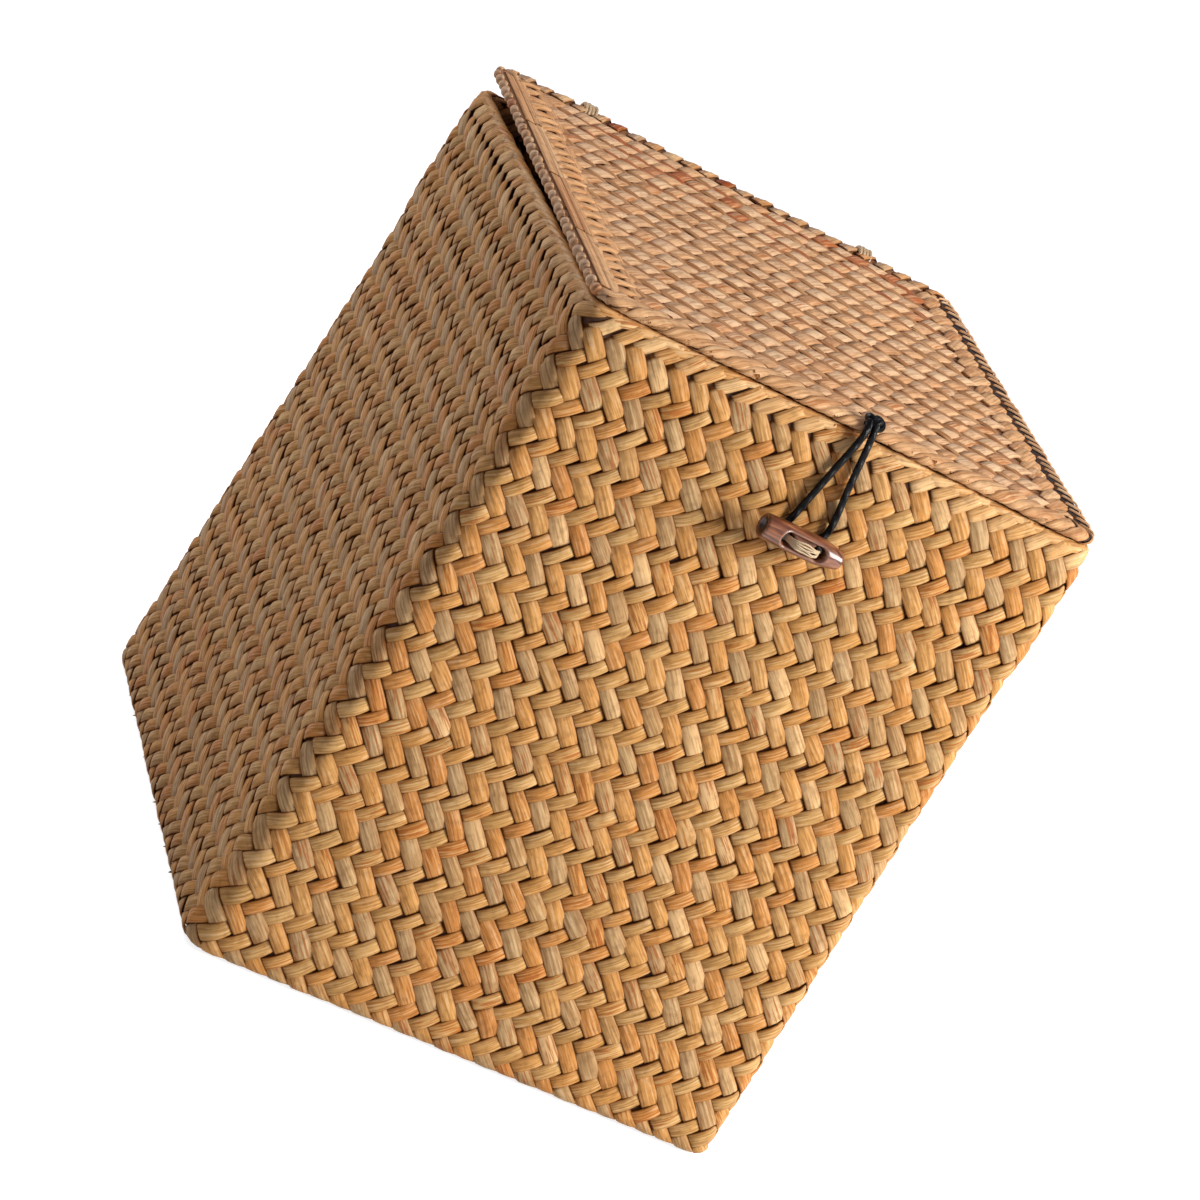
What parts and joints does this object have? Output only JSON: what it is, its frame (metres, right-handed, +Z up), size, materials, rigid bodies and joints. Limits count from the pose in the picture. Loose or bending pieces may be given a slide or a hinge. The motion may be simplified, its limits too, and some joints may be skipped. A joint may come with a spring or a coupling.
{
  "type": "woven lidded box",
  "caption": "Square plaited rush box, slightly wider at its base, with a flat hinged lid held shut by a cord loop over a wooden toggle on the front.",
  "frame": {"origin": "centre of the flat underside of the base, where it stands on a table", "axes": "+Z up out of the box, -Y towards the toggle at the front, +X to the right seen from the front"},
  "size_m": [0.2598, 0.276, 0.3345],
  "materials": {
    "rush_wall": "golden plaited rush, satin, streaked along each strand",
    "rush_lid": "pinkish tan plaited rush, matt",
    "steel_wire": "plain drawn wire",
    "pale_raffia": "cream raffia fibre",
    "black_cord": "black waxed cord",
    "toggle_wood": "red-brown polished stick"
  },
  "bodies": {
    "basket": {"plaited_shell": "rush_wall", "folded_rim": "rush_wall", "rim_wire": "steel_wire", "hinge_lashing_left": "pale_raffia", "hinge_lashing_right": "pale_raffia"},
    "lid": {"lid_panel": "rush_lid", "lid_border": "rush_lid", "lid_wire": "steel_wire", "loop_knot": "black_cord"},
    "loop": {"loop_cord": "black_cord"},
    "toggle": {"toggle": "toggle_wood", "toggle_tie": "pale_raffia"}
  },
  "joints": [
    {"name": "lid_hinge", "type": "hinge", "parent": "basket", "child": "lid", "pos_m": [0, 0.1218, 0.3298], "axis": [-1, 0, 0], "range_deg": [0, 215]},
    {"name": "loop_swing", "type": "hinge", "parent": "lid", "child": "loop", "pos_m": [0, -0.12737, 0.32174], "axis": [-1, 0, 0], "range_deg": [0, 100], "deforming": ["loop_cord"]},
    {"name": "toggle_turn", "type": "hinge", "parent": "basket", "child": "toggle", "pos_m": [0.0023, -0.1373, 0.2715], "axis": [0, -1, 0], "range_deg": [-90, 90]}
  ]
}
